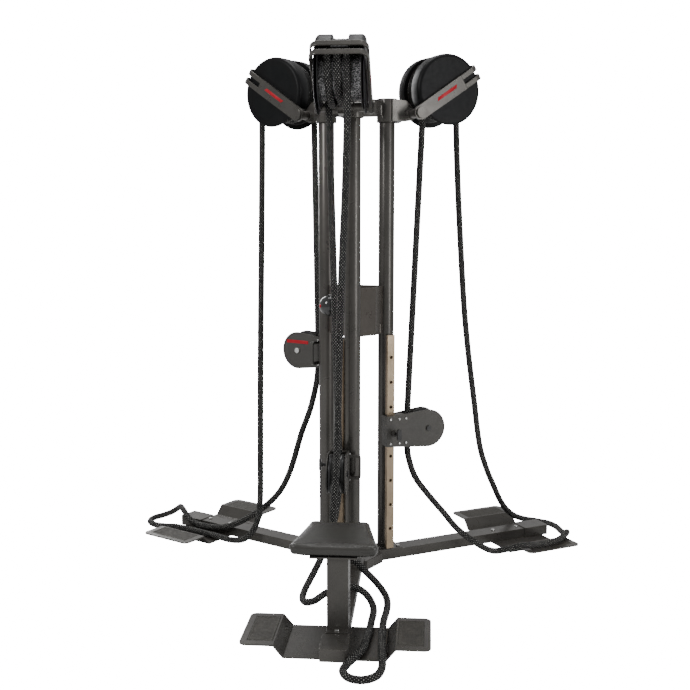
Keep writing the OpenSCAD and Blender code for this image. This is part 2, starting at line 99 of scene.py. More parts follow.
# Welds of the cross tube, past the inner faces of the arm plates
CROSS_WELDS_X = (0.0125, -0.0485)

# Knurled sleeve on each drum
SLEEVE_TEETH = 150
SLEEVE_ROWS = 44
SLEEVE_INNER_R = 0.0853
SLEEVE_OUTER_R = 0.0862
SLEEVE_HALF = 0.0735

# Ribs round the drum cover: place along the drum and thickness, and the sweep in degrees
RIBS = [(-0.0225, 0.0016), (-0.0075, 0.0012), (0.0075, 0.0012), (0.0225, 0.0016)]
RIB_R = 0.1262
RIB_FROM = 45
RIB_TO = 204
RIB_STEPS = 80
RIB_SIDES = 8

# Feet
FOOT_Y = -0.78
WING_TOP = 0.045
GRIP_REACH = 0.247
GRIP_W = 0.086
GRIP_L = 0.2
GRIP_LOW = -0.003
GRIP_FACE = -0.0009
GRIP_STEP = 0.002
GRIP_EDGE = 0.006
GRIP_LIP = 0.0013
LIP_SLOPE = 0.002
DOME_PITCH = 0.0065
DOME_H = 0.0011
DOME_FULLNESS = 0.6

# Columns
COLUMN_Y = -0.139
COLUMN_R = 0.03175
COLUMN_WELD_Z = 0.008

# Tension knob, turned this far about Z
KNOB_ANGLE = -60
KNOB_PLACE = (0, -0.098, 1.07)

# Studio: brightness of the surroundings as light, and as they look to the camera
AMBIENT = 0.7
BACKGROUND = 18
FLOOR_GLOW = BACKGROUND - 0.8 * AMBIENT
FLOOR_REACH = 40

# Rope routes from the throat of each carriage to the floor, along it, and up to the drum
LOWER_ROUTES = {
    "front": [
        (-0.045, -0.216, 0.455), (-0.045, -0.216, 0.4), (-0.05, -0.22, 0.33), (-0.064, -0.232, 0.245),
        (-0.088, -0.252, 0.17), (-0.115, -0.285, 0.105), (-0.142, -0.33, 0.056), (-0.16, -0.38, 0.026),
        (-0.162, -0.43, 0.014), (-0.145, -0.47, 0.015), (-0.112, -0.486, 0.028), (-0.075, -0.478, 0.052),
        (-0.035, -0.46, 0.067), (0, -0.446, 0.068), (0.03, -0.44, 0.066), (0.062, -0.44, 0.052),
        (0.088, -0.452, 0.03), (0.104, -0.49, 0.014), (0.108, -0.55, 0.013), (0.106, -0.62, 0.019),
        (0.104, -0.7, 0.02), (0.098, -0.79, 0.02), (0.09, -0.86, 0.02), (0.072, -0.915, 0.02),
        (0.048, -0.962, 0.014), (0.038, -1.01, 0.013), (0.06, -1.054, 0.013), (0.104, -1.066, 0.013),
        (0.144, -1.036, 0.013), (0.158, -0.984, 0.014), (0.158, -0.93, 0.022), (0.154, -0.87, 0.022),
        (0.15, -0.8, 0.024), (0.148, -0.72, 0.024), (0.148, -0.65, 0.024), (0.15, -0.59, 0.018),
        (0.154, -0.52, 0.013), (0.154, -0.45, 0.015), (0.142, -0.4, 0.028), (0.108, -0.372, 0.062),
        (0.06, -0.374, 0.112), (0.01, -0.391, 0.172), (-0.036, -0.392, 0.24), (-0.052, -0.39, 0.31),
        (-0.046, -0.388, 0.4), (-0.038, -0.388, 0.52), (-0.032, -0.398, 0.7), (-0.026, -0.415, 0.95),
        (-0.014, -0.435, 1.25), (-0.002, -0.448, 1.5), (0.006, -0.457, 1.76), (0.008, -0.46, 1.91),
    ],
    "right": [
        (-0.045, -0.216, 0.556), (-0.045, -0.216, 0.495), (-0.046, -0.224, 0.43),
        (-0.052, -0.254, 0.345), (-0.062, -0.315, 0.262), (-0.076, -0.378, 0.185),
        (-0.092, -0.43, 0.118), (-0.12, -0.5, 0.056), (-0.17, -0.556, 0.024), (-0.226, -0.592, 0.042),
        (-0.262, -0.64, 0.061), (-0.284, -0.72, 0.061), (-0.276, -0.8, 0.061), (-0.24, -0.872, 0.062),
        (-0.19, -0.93, 0.058), (-0.13, -0.968, 0.03), (-0.06, -1, 0.014), (0.01, -1.022, 0.013),
        (0.07, -1.018, 0.013), (0.112, -0.985, 0.016), (0.128, -0.93, 0.028), (0.12, -0.87, 0.054),
        (0.096, -0.808, 0.1), (0.066, -0.752, 0.16), (0.042, -0.702, 0.235), (0.024, -0.65, 0.325),
        (0.014, -0.606, 0.44), (0.01, -0.572, 0.636), (0.008, -0.536, 0.86), (0.008, -0.51, 1.08),
        (0.008, -0.48, 1.46), (0.008, -0.464, 1.74), (0.008, -0.46, 1.91),
    ],
    "left": [
        (-0.045, -0.216, 0.861), (-0.045, -0.216, 0.8), (-0.044, -0.226, 0.72), (-0.041, -0.256, 0.61),
        (-0.036, -0.3, 0.5), (-0.026, -0.35, 0.34), (-0.006, -0.396, 0.238), (0.018, -0.47, 0.158),
        (0.04, -0.57, 0.088), (0.06, -0.66, 0.048), (0.067, -0.74, 0.036), (0.069, -0.82, 0.036),
        (0.067, -0.87, 0.054), (0.048, -0.915, 0.075), (0.012, -0.97, 0.076), (-0.016, -1.016, 0.054),
        (-0.018, -1.058, 0.028), (0.012, -1.086, 0.015), (0.064, -1.094, 0.013), (0.112, -1.07, 0.013),
        (0.134, -1.02, 0.013), (0.13, -0.96, 0.016), (0.118, -0.9, 0.021), (0.112, -0.83, 0.021),
        (0.11, -0.74, 0.02), (0.112, -0.65, 0.02), (0.11, -0.58, 0.018), (0.102, -0.52, 0.028),
        (0.09, -0.478, 0.062), (0.076, -0.452, 0.125), (0.064, -0.448, 0.215), (0.05, -0.456, 0.37),
        (0.034, -0.466, 0.6), (0.022, -0.47, 0.9), (0.012, -0.468, 1.3), (0.008, -0.462, 1.7),
        (0.008, -0.46, 1.91),
    ],
}
# The point of each route up to which the rope moves with its carriage
MOVES_TO = {"front": 8, "right": 9, "left": 10}


# ------------------------------------------------------------------ mesh helpers


def turn(station):
    """Matrix from a station's own frame to the row frame."""
    return Matrix.Rotation(math.radians(STATIONS[station]), 4, "Z")


def new_object(name, vertices, faces, material, matrix=None, smooth=True):
    """A mesh object whose vertices already lie where they belong."""
    mesh = bpy.data.meshes.new(name)
    mesh.from_pydata([tuple(v) for v in vertices], [], faces)
    if matrix is not None:
        mesh.transform(matrix)
    mesh.polygons.foreach_set("use_smooth", [smooth] * len(mesh.polygons))
    mesh.materials.append(material)
    mesh.update()
    obj = bpy.data.objects.new(name, mesh)
    bpy.context.scene.collection.objects.link(obj)
    return obj


def joined(name, parts, material):
    """One object from several (vertices, faces, matrix) parts."""
    vertices, faces = [], []
    for part_vertices, part_faces, matrix in parts:
        start = len(vertices)
        vertices += [matrix @ Vector(v) for v in part_vertices]
        faces += [[start + i for i in face] for face in part_faces]
    return new_object(name, vertices, faces, material)


def wall_faces(rows, count):
    """The faces between rows of count points, where each row is a closed ring."""
    faces = []
    for row in range(rows - 1):
        low, high = row * count, (row + 1) * count
        for i in range(count):
            j = (i + 1) % count
            faces.append([low + i, low + j, high + j, high + i])
    return faces


def lathe(profile, steps=32, socket=()):
    """Closed surface from (radius, height) points turned about Z. The rings named in socket
    are hexagons."""
    vertices = []
    for row, (radius, height) in enumerate(profile):
        for i in range(steps):
            a = math.tau * i / steps
            r = radius
            if row in socket:
                r *= math.cos(math.pi / 6) / math.cos(a % (math.pi / 3) - math.pi / 6)
            vertices.append((r * math.cos(a), r * math.sin(a), height))
    faces = wall_faces(len(profile), steps)
    faces.append(list(reversed(range(steps))))
    faces.append([(len(profile) - 1) * steps + i for i in range(steps)])
    return vertices, faces


def torus(radius, thick, ripple, count, rings=96, sides=10):
    """A bead round a circle in the XY plane, rippled like a weld."""
    vertices, faces = [], []
    for i in range(rings):
        a = math.tau * i / rings
        wave = 1 + ripple * math.sin(count * a)
        for j in range(sides):
            b = math.tau * j / sides
            r = radius + thick * wave * math.cos(b)
            vertices.append((r * math.cos(a), r * math.sin(a), thick * wave * math.sin(b)))
    for i in range(rings):
        for j in range(sides):
            k, n = (i + 1) % rings, (j + 1) % sides
            faces.append([i * sides + j, k * sides + j, k * sides + n, i * sides + n])
    return vertices, faces


def along_x(x, y, z, sign=1):
    """Matrix that lays a lathed part's Z along +X or -X of its station, at a point."""
    return Matrix.Translation((x, y, z)) @ Matrix.Rotation(sign * math.pi / 2, 4, "Y")


def modifier(obj, kind, name, **settings):
    made = obj.modifiers.new(name, kind)
    for key, value in settings.items():
        setattr(made, key, value)
    return made


# ------------------------------------------------------------------ materials


class Finish:
    """A procedural material. Noise runs in the piece's own coordinates, in metres."""

    def __init__(self, name, metallic=0.0, **sockets):
        self.material = bpy.data.materials.new(name)
        self.material.use_nodes = True
        self.tree = self.material.node_tree
        self.shader = self.tree.nodes["Principled BSDF"]
        self.place = self.tree.nodes.new("ShaderNodeTexCoord").outputs["Object"]
        self.shader.inputs["Metallic"].default_value = metallic
        for socket, value in sockets.items():
            self.shader.inputs[socket.replace("_", " ")].default_value = value
        self.height = None

    def node(self, kind, inputs=(), **settings):
        made = self.tree.nodes.new(kind)
        for key, value in settings.items():
            setattr(made, key, value)
        for key, value in dict(inputs).items():
            if isinstance(value, bpy.types.NodeSocket):
                self.tree.links.new(value, made.inputs[key])
            else:
                made.inputs[key].default_value = value
        return made

    def math(self, operation, a, b=0.0):
        return self.node("ShaderNodeMath", {0: a, 1: b}, operation=operation).outputs[0]

    def stretched(self, x, y, z):
        return self.node("ShaderNodeMapping", {"Vector": self.place, "Scale": (x, y, z)}).outputs[0]

    def noise(self, scale, detail=3.0, vector=None):
        found = self.node(
            "ShaderNodeTexNoise",
            {"Vector": vector or self.place, "Scale": scale, "Detail": detail},
        )
        return found.outputs["Fac"]

    def cells(self, scale, feature="F1"):
        found = self.node(
            "ShaderNodeTexVoronoi", {"Vector": self.place, "Scale": scale}, feature=feature
        )
        return found.outputs["Distance"]

    def between(self, factor, low, high, low_at=0.3, high_at=0.7):
        """A value that runs from low to high as factor runs from low_at to high_at."""
        found = self.node(
            "ShaderNodeMapRange",
            {"Value": factor, "From Min": low_at, "From Max": high_at, "To Min": low, "To Max": high},
        )
        return found.outputs["Result"]

    def colours(self, factor, first, second, low_at=0.3, high_at=0.7):
        mix = self.node("ShaderNodeMix", data_type="RGBA")
        self.tree.links.new(self.between(factor, 0, 1, low_at, high_at), mix.inputs["Factor"])
        for socket, value in ((mix.inputs[6], first), (mix.inputs[7], second)):
            if isinstance(value, bpy.types.NodeSocket):
                self.tree.links.new(value, socket)
            else:
                socket.default_value = (*value, 1)
        return mix.outputs[2]

    def colour(self, socket):
        self.tree.links.new(socket, self.shader.inputs["Base Color"])

    def roughness(self, socket):
        self.tree.links.new(socket, self.shader.inputs["Roughness"])

    def bump(self, socket, strength, distance):
        inputs = {"Height": socket, "Strength": strength, "Distance": distance}
        if self.height is not None:
            inputs["Normal"] = self.height
        self.height = self.node("ShaderNodeBump", inputs).outputs["Normal"]
        self.tree.links.new(self.height, self.shader.inputs["Normal"])


def powder_coat(name, dark, light, rough=(0.26, 0.36), metallic=0.5):
    """Satin metallic powder coat: fine orange peel, flake, and slight handling marks."""
    f = Finish(name, metallic=metallic, Specular_IOR_Level=0.35)
    flake = f.cells(3200)
    broad = f.noise(7, 4)
    base = f.colours(broad, dark, light)
    f.colour(f.colours(flake, [c * 1.7 for c in light], base, 0.0, 0.2))
    f.roughness(f.between(f.noise(38, 5), *rough))
    f.bump(f.noise(1500, 2), 0.10, 0.0003)
    f.bump(f.noise(260, 2), 0.05, 0.0006)
    return f.material


def moulded(name, dark, light, rough, grain=2200, strength=0.12, gloss=0.22):
    """Moulded plastic with a fine spark-eroded grain and faint rubbing marks."""
    f = Finish(name, IOR=1.49, Specular_IOR_Level=gloss)
    f.colour(f.colours(f.noise(11, 5), dark, light))
    f.roughness(f.between(f.noise(60, 6), *rough))
    f.bump(f.cells(grain), strength, 0.0002)
    return f.material


def brushed(name, dark, light, rough, metallic, direction):
    """Metal brushed in one direction: direction stretches the noise."""
    f = Finish(name, metallic=metallic, Anisotropic=0.4)
    lines = f.noise(1.0, 4, f.stretched(*direction))
    f.colour(f.colours(f.noise(16, 5), dark, light))
    f.roughness(f.between(lines, *rough))
    f.bump(lines, 0.08, 0.0002)
    return f.material


def barrel_steel():
    """Black knurled barrel with small bright specks in patches: partly rope wear, partly a painted
    highlight on the knurl.
    """
    f = Finish("barrel_wear_and_painted_highlight", metallic=0.85)
    specks = f.cells(420)
    patches = f.noise(30, 4)
    # Bright specks in patches: partly rope wear, partly painted highlight standing for the knurl catching
    # the light.
    wear_and_highlight = f.math("MULTIPLY", f.between(specks, 1, 0, 0.16, 0.5), f.between(patches, 0.25, 1, 0.3, 0.52))
    f.colour(f.colours(wear_and_highlight, (0.02, 0.02, 0.021), (0.6, 0.6, 0.6), 0.1, 0.8))
    f.roughness(f.between(wear_and_highlight, 0.42, 0.22, 0, 1))
    f.bump(specks, 0.6, 0.0006)
    return f.material


def seat_vinyl():
    """Smooth satin black upholstery vinyl with a fine leather grain."""
    f = Finish("seat_vinyl", IOR=1.47, Specular_IOR_Level=0.4, Coat_Weight=0.06, Coat_Roughness=0.35)
    grain = f.cells(900, "DISTANCE_TO_EDGE")
    f.colour(f.colours(f.noise(5, 3), (0.0165, 0.0155, 0.0135), (0.0215, 0.020, 0.0175)))
    f.roughness(f.between(f.noise(30, 4), 0.36, 0.42))
    f.bump(f.between(grain, 0, 1, 0, 0.25), 0.10, 0.0003)
    f.bump(f.noise(14, 2), 0.04, 0.002)
    return f.material


def pebbled_rubber():
    f = Finish("pebbled_rubber", IOR=1.5, Specular_IOR_Level=0.35)
    f.colour(f.colours(f.noise(26, 5), (0.018, 0.0165, 0.0135), (0.030, 0.027, 0.022)))
    f.roughness(f.between(f.noise(80, 4), 0.62, 0.82))
    f.bump(f.noise(1800, 2), 0.2, 0.0003)
    return f.material


def rope_braid():
    """Black braid: its strands follow the same two spirals as the mesh, read from the UV map. Its colour
    has painted shade in the valleys between the strands and painted glints on the strand crowns.
    """
    f = Finish("rope_braid", IOR=1.5, Specular_IOR_Level=0.12)
    uv = f.node("ShaderNodeUVMap", uv_map="braid").outputs["UV"]
    split = f.node("ShaderNodeSeparateXYZ", {"Vector": uv})
    along, around = split.outputs["X"], split.outputs["Y"]
    first = f.math("ADD", around, along)
    second = f.math("SUBTRACT", around, along)
    waves = [
        f.math("ABSOLUTE", f.math("SINE", f.math("MULTIPLY", s, math.pi))) for s in (first, second)
    ]
    crown = f.math("MULTIPLY", *waves)
    yarns = f.math("SINE", f.math("MULTIPLY", first, 9 * math.pi))
    # Painted glints: light flecks on the strand crowns, where the glossy yarn would catch the light.
    painted_glint = f.math(
        "MULTIPLY",
        f.between(crown, 0, 1, 0.66, 0.93),
        f.between(f.noise(420, 3), 0, 1, 0.42, 0.62),
    )
    # Painted shade: the colour darkens from the strand crowns into the valleys between them.
    base = f.colours(crown, (0.003, 0.003, 0.0032), (0.011, 0.0108, 0.0105), 0.0, 0.9)
    f.colour(f.colours(painted_glint, base, (0.34, 0.335, 0.315), 0.1, 0.9))
    f.roughness(f.between(f.noise(150, 3), 0.5, 0.7))
    f.bump(crown, 0.7, 0.0012)
    f.bump(yarns, 0.25, 0.0003)
    return f.material


def red_enamel():
    f = Finish("red_enamel", IOR=1.5, Specular_IOR_Level=0.15)
    f.colour(f.colours(f.noise(60, 4), (0.24, 0.004, 0.010), (0.32, 0.007, 0.015)))
    f.roughness(f.between(f.noise(120, 4), 0.32, 0.5))
    f.bump(f.noise(900, 2), 0.06, 0.0002)
    return f.material


def pale_floor():
    """Pale floor. Seen directly it glows a little, so that it meets the background."""
    f = Finish("pale_floor")
    f.colour(f.colours(f.noise(3, 2), (0.80, 0.80, 0.80), (0.84, 0.84, 0.84)))
    f.roughness(f.between(f.noise(9, 3), 0.7, 0.85))
    seen = f.node("ShaderNodeLightPath").outputs["Is Camera Ray"]
    f.tree.links.new(f.math("MULTIPLY", seen, FLOOR_GLOW), f.shader.inputs["Emission Strength"])
    f.shader.inputs["Emission Color"].default_value = (1, 1, 1, 1)
    return f.material


# Brushing directions, as the stretch of the noise
UP_Z = (700, 700, 9)
EVEN = (90, 90, 90)
FINE_EVEN = (80, 80, 80)
PAINT = powder_coat("frame_paint", (0.044, 0.0415, 0.038), (0.060, 0.056, 0.051))
HUB = powder_coat("hub_paint", (0.054, 0.048, 0.042), (0.070, 0.062, 0.054))
CHEEK = powder_coat("cheek_paint", (0.036, 0.034, 0.031), (0.046, 0.0435, 0.040), (0.42, 0.55), 0.3)
RAIL = brushed("rail_finish", (0.22, 0.172, 0.118), (0.28, 0.222, 0.158), (0.30, 0.46), 0.85, UP_Z)
STEEL = brushed("bright_steel", (0.50, 0.50, 0.49), (0.64, 0.64, 0.63), (0.20, 0.36), 1.0, EVEN)
SHELL = moulded("black_shell", (0.0032, 0.0032, 0.0035), (0.005, 0.005, 0.0054), (0.36, 0.46), gloss=0.09)
BAND = moulded("band_shell", (0.010, 0.0095, 0.0075), (0.016, 0.015, 0.012), (0.2, 0.3), 1500, 0.2, 0.4)
SHEAVE = moulded("sheave_black", (0.010, 0.010, 0.010), (0.018, 0.018, 0.018), (0.28, 0.42))
OXIDE = brushed("black_steel", (0.028, 0.028, 0.028), (0.045, 0.045, 0.045), (0.30, 0.45), 0.8, FINE_EVEN)
KNOB = moulded("knob_gloss", (0.009, 0.009, 0.009), (0.013, 0.013, 0.013), (0.08, 0.14), 900, 0.02, 0.5)
BOARD = moulded("board_black", (0.014, 0.014, 0.014), (0.022, 0.022, 0.021), (0.6, 0.75), 700, 0.3)
DRUM = moulded("drum_black", (0.009, 0.009, 0.009), (0.015, 0.015, 0.015), (0.3, 0.42), gloss=0.35)
BARREL = barrel_steel()
VINYL = seat_vinyl()
RUBBER = pebbled_rubber()
BRAID = rope_braid()
RED = red_enamel()

# What each CAD node is finished with: start of the node's name, material, edge radius
LOOKS = [
    ("base_hub", PAINT, 0.0015),
    ("mid_hub", HUB, 0.0015),
    ("top_hub", PAINT, 0.0012),
    ("column", PAINT, 0.0012),
    ("leg_end_caps", PAINT, 0.0022),
    ("leg", PAINT, 0.0025),
    ("foot_plate", PAINT, 0.0018),
    ("rail_screws", RAIL, 0.0),
    ("rail", RAIL, 0.0008),
    ("collar", PAINT, 0.0018),
    ("cross_tubes", PAINT, 0.0012),
    ("arm_plates", PAINT, 0.0014),
    ("rope_guards", PAINT, 0.0016),
    ("drum_cover", SHELL, 0.0012),
    ("drum_shafts", PAINT, 0.0006),
    ("drum_bearings", STEEL, 0.0006),
    ("drum", DRUM, 0.0012),
    ("seat_post", PAINT, 0.0025),
    ("seat_board", BOARD, 0.0012),
    ("seat_bolts", STEEL, 0.0008),
    ("tension_knob", KNOB, 0.0008),
    ("carriage", CHEEK, 0.0012),
    ("sheave_axle_left", STEEL, 0.0008),
    ("sheave_axle", OXIDE, 0.0008),
    ("sheave", SHEAVE, 0.0008),
    ("pull_pin", OXIDE, 0.0012),
    ("hub_bolts", STEEL, 0.0008),
    ("foot_bolts", STEEL, 0.001),
]

# Vertices this close are one. Faces within the first angle are flat, and edges past the
# second are softened, both in degrees.
WELD_GAP = 0.00002
FLAT_ANGLE = 0.6
EDGE_ANGLE = 38


def finish_node(name, obj):
    """Gives a CAD node its material and takes the sharpness off its edges."""
    for start, material, edge in LOOKS:
        if name.startswith(start):
            obj.data.materials.clear()
            obj.data.materials.append(material)
            if edge:
                modifier(obj, "WELD", "weld", merge_threshold=WELD_GAP)
                modifier(
                    obj, "DECIMATE", "flat_faces",
                    decimate_type="DISSOLVE", angle_limit=math.radians(FLAT_ANGLE),
                )
                modifier(
                    obj, "BEVEL", "soft_edges",
                    width=edge, segments=2, limit_method="ANGLE",
                    angle_limit=math.radians(EDGE_ANGLE),
                    harden_normals=False, use_clamp_overlap=True,
                )
            return


# ------------------------------------------------------------------ ropes


def catmull(points, gap):
    """Points about gap apart on the smooth curve through the route's points."""
    out = []
    for i in range(len(points) - 1):
        a, b = points[max(i - 1, 0)], points[i]
        c, d = points[i + 1], points[min(i + 2, len(points) - 1)]
        n = max(2, round(float(np.linalg.norm(c - b)) / gap))
        t = (np.arange(n) / n)[:, None]
        out.append(0.5 * (2 * b + (c - a) * t + (2 * a - 5 * b + 4 * c - d) * t**2
                          + (3 * b - a - 3 * c + d) * t**3))
    return np.concatenate([*out, points[-1:]])


def wrap_point(a):
    """A point on the rope's turns round the drum, a radians from the back of the drum."""
    share = a / (math.tau * WRAP_TURNS)
    return (
        WRAP_FIRST + (WRAP_LAST - WRAP_FIRST) * share,
        DRUM_Y + WRAP_R * math.cos(a),
        DRUM_Z + WRAP_R * math.sin(a),
    )


def rope_line(station):
    """The whole rope in the row frame, evenly spaced: down from the carriage, along the
    floor, up to the drum, round it, and down its back. Also the two places where it is cut."""
    route = np.array(LOWER_ROUTES[station], float)
    lower = catmull(route, ROPE_STEP)
    lower[:, 2] = np.maximum(lower[:, 2], ROPE_R + ROPE_LIFT)
    to_point = np.linalg.norm(lower - route[MOVES_TO[station]], axis=1).argmin()
    turns = np.linspace(math.tau * WRAP_TURNS, 0, round(WRAP_POINTS * WRAP_TURNS))
    wraps = np.array([wrap_point(a) for a in turns])
    throat = route[0]
    top, low = wraps[-1], throat + (0, 0, THROAT_CLEAR)
    rise = np.array([top + (low - top) * t for t in np.linspace(0, 1, RISE_POINTS)[1:]] + [throat])
    line = np.concatenate([lower, wraps[1:], rise])
    at = np.concatenate([[0], np.cumsum(np.linalg.norm(np.diff(line, axis=0), axis=1))])
    cuts = at[to_point], at[len(lower) + len(wraps) - 2]
    even = np.linspace(0, at[-1], round(at[-1] / ROPE_STEP))
    line = np.stack([np.interp(even, at, line[:, k]) for k in range(3)], axis=1)
    ends = [int(np.abs(even - c).argmin()) for c in cuts]
    spin = np.array(turn(station).to_3x3())
    return line @ spin.T, even, ends


def side_directions(line):
    """Two directions across the rope at each point, carried along without twisting."""
    heading = np.gradient(line, axis=0)
    heading /= np.linalg.norm(heading, axis=1)[:, None]
    side = np.zeros_like(line)
    side[0] = np.cross(heading[0], (0, 1, 0))
    side[0] /= np.linalg.norm(side[0])
    for i in range(1, len(line)):
        u = side[i - 1] - (side[i - 1] @ heading[i]) * heading[i]
        side[i] = u / np.linalg.norm(u)
    return side, np.cross(heading, side)


def braided_tube(name, line, along, u, v):
    """A tube with raised crossing strands, with a UV map that counts the strands."""
    around = np.arange(ROPE_SIDES) / ROPE_SIDES
    first = STRANDS * around[None, :] + along[:, None] / STRAND_PITCH
    second = STRANDS * around[None, :] - along[:, None] / STRAND_PITCH
    crown = np.abs(np.sin(np.pi * first) * np.sin(np.pi * second))
    radius = (ROPE_R + STRAND_RELIEF * (crown - STRAND_MEAN))[..., None]
    angle = math.tau * around
    across = np.cos(angle)[None, :, None] * u[:, None] + np.sin(angle)[None, :, None] * v[:, None]
    rings = line[:, None] + radius * across
    count = len(line)
    index = np.arange(count * ROPE_SIDES).reshape(count, ROPE_SIDES)
    turned = np.roll(index, -1, axis=1)
    quads = np.stack([index[:-1], turned[:-1], turned[1:], index[1:]], axis=-1).reshape(-1, 4)
    ends = [index[0][::-1].tolist(), index[-1].tolist()]
    obj = new_object(name, rings.reshape(-1, 3), quads.tolist() + ends, BRAID)
    uv = obj.data.uv_layers.new(name="braid")
    l0, l1 = along[:-1, None] / STRAND_PITCH, along[1:, None] / STRAND_PITCH
    a0 = STRANDS * around[None, :]
    a1 = a0 + STRANDS / ROPE_SIDES
    l0, a0, l1, a1 = np.broadcast_arrays(l0, a0, l1, a1)
    pairs = ((l0, a0), (l0, a1), (l1, a1), (l1, a0))
    corners = np.stack([np.stack(pair, axis=-1) for pair in pairs], axis=2).reshape(-1)
    cap = np.zeros(2 * ROPE_SIDES * 2)
    uv.data.foreach_set("uv", np.concatenate([corners, cap]).astype(np.float32))
    return obj


def add_rope(station):
    """One endless rope in three lengths. The length between the two at the carriage is attached to the
    frame; the two at the carriage are left in place in the row frame."""
    line, along, (floor_cut, drum_cut) = rope_line(station)
    u, v = side_directions(line)
    upper, lower = f"rope_upper_{station}", f"rope_lower_{station}"
    throat = line[0]
    clear = throat + np.array((0, 0, THROAT_CLEAR))
    spans = {
        "drop": (0, floor_cut, throat, line[floor_cut], [lower], "hanging"),
        "loop": (floor_cut, drum_cut, None, None, [lower, upper], "loose"),
        "rise": (drum_cut, len(line) - 1, clear, line[drum_cut], [upper], "taut"),
    }
    for part, (a, b, start, end, solids, lay) in spans.items():
        cut = slice(a, b + 1)
        piece = braided_tube(f"rope_{part}_{station}", line[cut], along[cut], u[cut], v[cut])
        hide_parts(*solids)
        if start is None:
            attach(piece, "frame")
        else:
            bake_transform(piece)


# ------------------------------------------------------------------ seat


SEAT_CORNER = 0.024
SEAT_EDGE = 0.011
SEAT_EDGE_LEVELS = 6
SEAT_TOP_GAP = 0.002
# The tapering lower part of the seat: inset and height above the underside
SEAT_LOW_LEVELS = [(0.018, 0.0004), (0.011, 0.003), (0.006, 0.009), (0.002, 0.018)]
SEAT_VOXEL = 0.005
# Width at the back as a share of the width at the front
SEAT_BACK_SHARE = 222 / 323
# How far the cushion may swell, and the height of the underside that is held
SEAT_SWELL = 0.004
SEAT_HELD = 0.004
SEAT_PRESSURE = 4


def seat_ring(inset, z, steps=10):
    """One level of the seat: a trapezium with rounded corners."""
    low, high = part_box("seat_pad")
    middle, half = (low.x + high.x) / 2, (high.x - low.x) / 2
    corners = [
        Vector((middle - half, low.y)), Vector((middle + half, low.y)),
        Vector((middle + half * SEAT_BACK_SHARE, high.y)),
        Vector((middle - half * SEAT_BACK_SHARE, high.y)),
    ]
    ring = []
    for i, corner in enumerate(corners):
        before = (corners[i - 1] - corner).normalized()
        after = (corners[(i + 1) % 4] - corner).normalized()
        spread = before.angle(after)
        inward = (before + after).normalized()
        centre = corner + inward * (SEAT_CORNER / math.sin(spread / 2))
        normal_before = Vector((before.y, -before.x))
        normal_after = Vector((-after.y, after.x))
        if normal_before.dot(inward) > 0:
            normal_before.negate()
        if normal_after.dot(inward) > 0:
            normal_after.negate()
        first = math.atan2(normal_before.y, normal_before.x)
        sweep = (math.atan2(normal_after.y, normal_after.x) - first + math.pi) % math.tau - math.pi
        for k in range(steps + 1):
            a = first + sweep * k / steps
            r = SEAT_CORNER - inset
            ring.append((centre.x + r * math.cos(a), centre.y + r * math.sin(a), z))
    return ring


def swollen(obj, frames=20):
    """Inflates a closed mesh a little with the cloth solver and holds its underside flat."""
    rest = np.array([v.co for v in obj.data.vertices], float)
    floor = rest[:, 2].min()
    group = obj.vertex_groups.new(name="held")
    group.add([int(i) for i in np.flatnonzero(rest[:, 2] < floor + SEAT_HELD)], 1.0, "REPLACE")
    cloth = modifier(obj, "CLOTH", "cloth")
    cloth.settings.use_pressure = True
    cloth.settings.uniform_pressure_force = SEAT_PRESSURE
    cloth.settings.effector_weights.gravity = 0
    cloth.settings.vertex_group_mass = "held"
    cloth.settings.quality = 6
    cloth.point_cache.frame_start = 1
    cloth.point_cache.frame_end = frames
    scene = bpy.context.scene
    for number in range(1, frames + 1):
        scene.frame_set(number)
    graph = bpy.context.evaluated_depsgraph_get()
    mesh = obj.evaluated_get(graph).to_mesh()
    moved = np.array([v.co for v in mesh.vertices], float)
    obj.evaluated_get(graph).to_mesh_clear()
    obj.modifiers.clear()
    scene.frame_set(1)
    shift = moved - rest
    far = np.linalg.norm(shift, axis=1)
    shift *= np.minimum(1, SEAT_SWELL / np.maximum(far, 1e-9))[:, None]
    moved = rest + shift
    moved[:, 2] = np.maximum(moved[:, 2], floor)
    obj.data.vertices.foreach_set("co", moved.astype(np.float32).ravel())
    obj.data.update()


def add_seat():
    low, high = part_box("seat_pad")
    levels = [(inset, low.z + rise) for inset, rise in SEAT_LOW_LEVELS]
    for k in range(SEAT_EDGE_LEVELS + 1):
        a = math.pi / 2 * k / SEAT_EDGE_LEVELS
        drop = SEAT_EDGE * (1 - math.sin(a))
        levels.append((SEAT_EDGE * (1 - math.cos(a)), high.z - SEAT_TOP_GAP - drop))
    rings = [seat_ring(inset, z) for inset, z in levels]
    count = len(rings[0])
    vertices = [p for ring in rings for p in ring]
    faces = [list(range(count))[::-1]]
    faces += wall_faces(len(rings), count)
    faces.append([(len(rings) - 1) * count + i for i in range(count)])
    pad = new_object("seat_cushion", vertices, faces, VINYL)
    modifier(pad, "REMESH", "remesh", mode="VOXEL", voxel_size=SEAT_VOXEL, use_smooth_shade=True)
    bpy.context.view_layer.update()
    mesh = bpy.data.meshes.new_from_object(pad.evaluated_get(bpy.context.evaluated_depsgraph_get()))
    pad.modifiers.clear()
    pad.data = mesh
    swollen(pad)
    modifier(pad, "SMOOTH", "settle", factor=0.5, iterations=3)
    modifier(pad, "SUBSURF", "subdivision", levels=1, render_levels=1)
    mesh.polygons.foreach_set("use_smooth", [True] * len(mesh.polygons))
    mesh.materials.clear()
    mesh.materials.append(VINYL)
    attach(pad, "frame")
    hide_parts("seat_pad")


# ------------------------------------------------------------------ foot grips


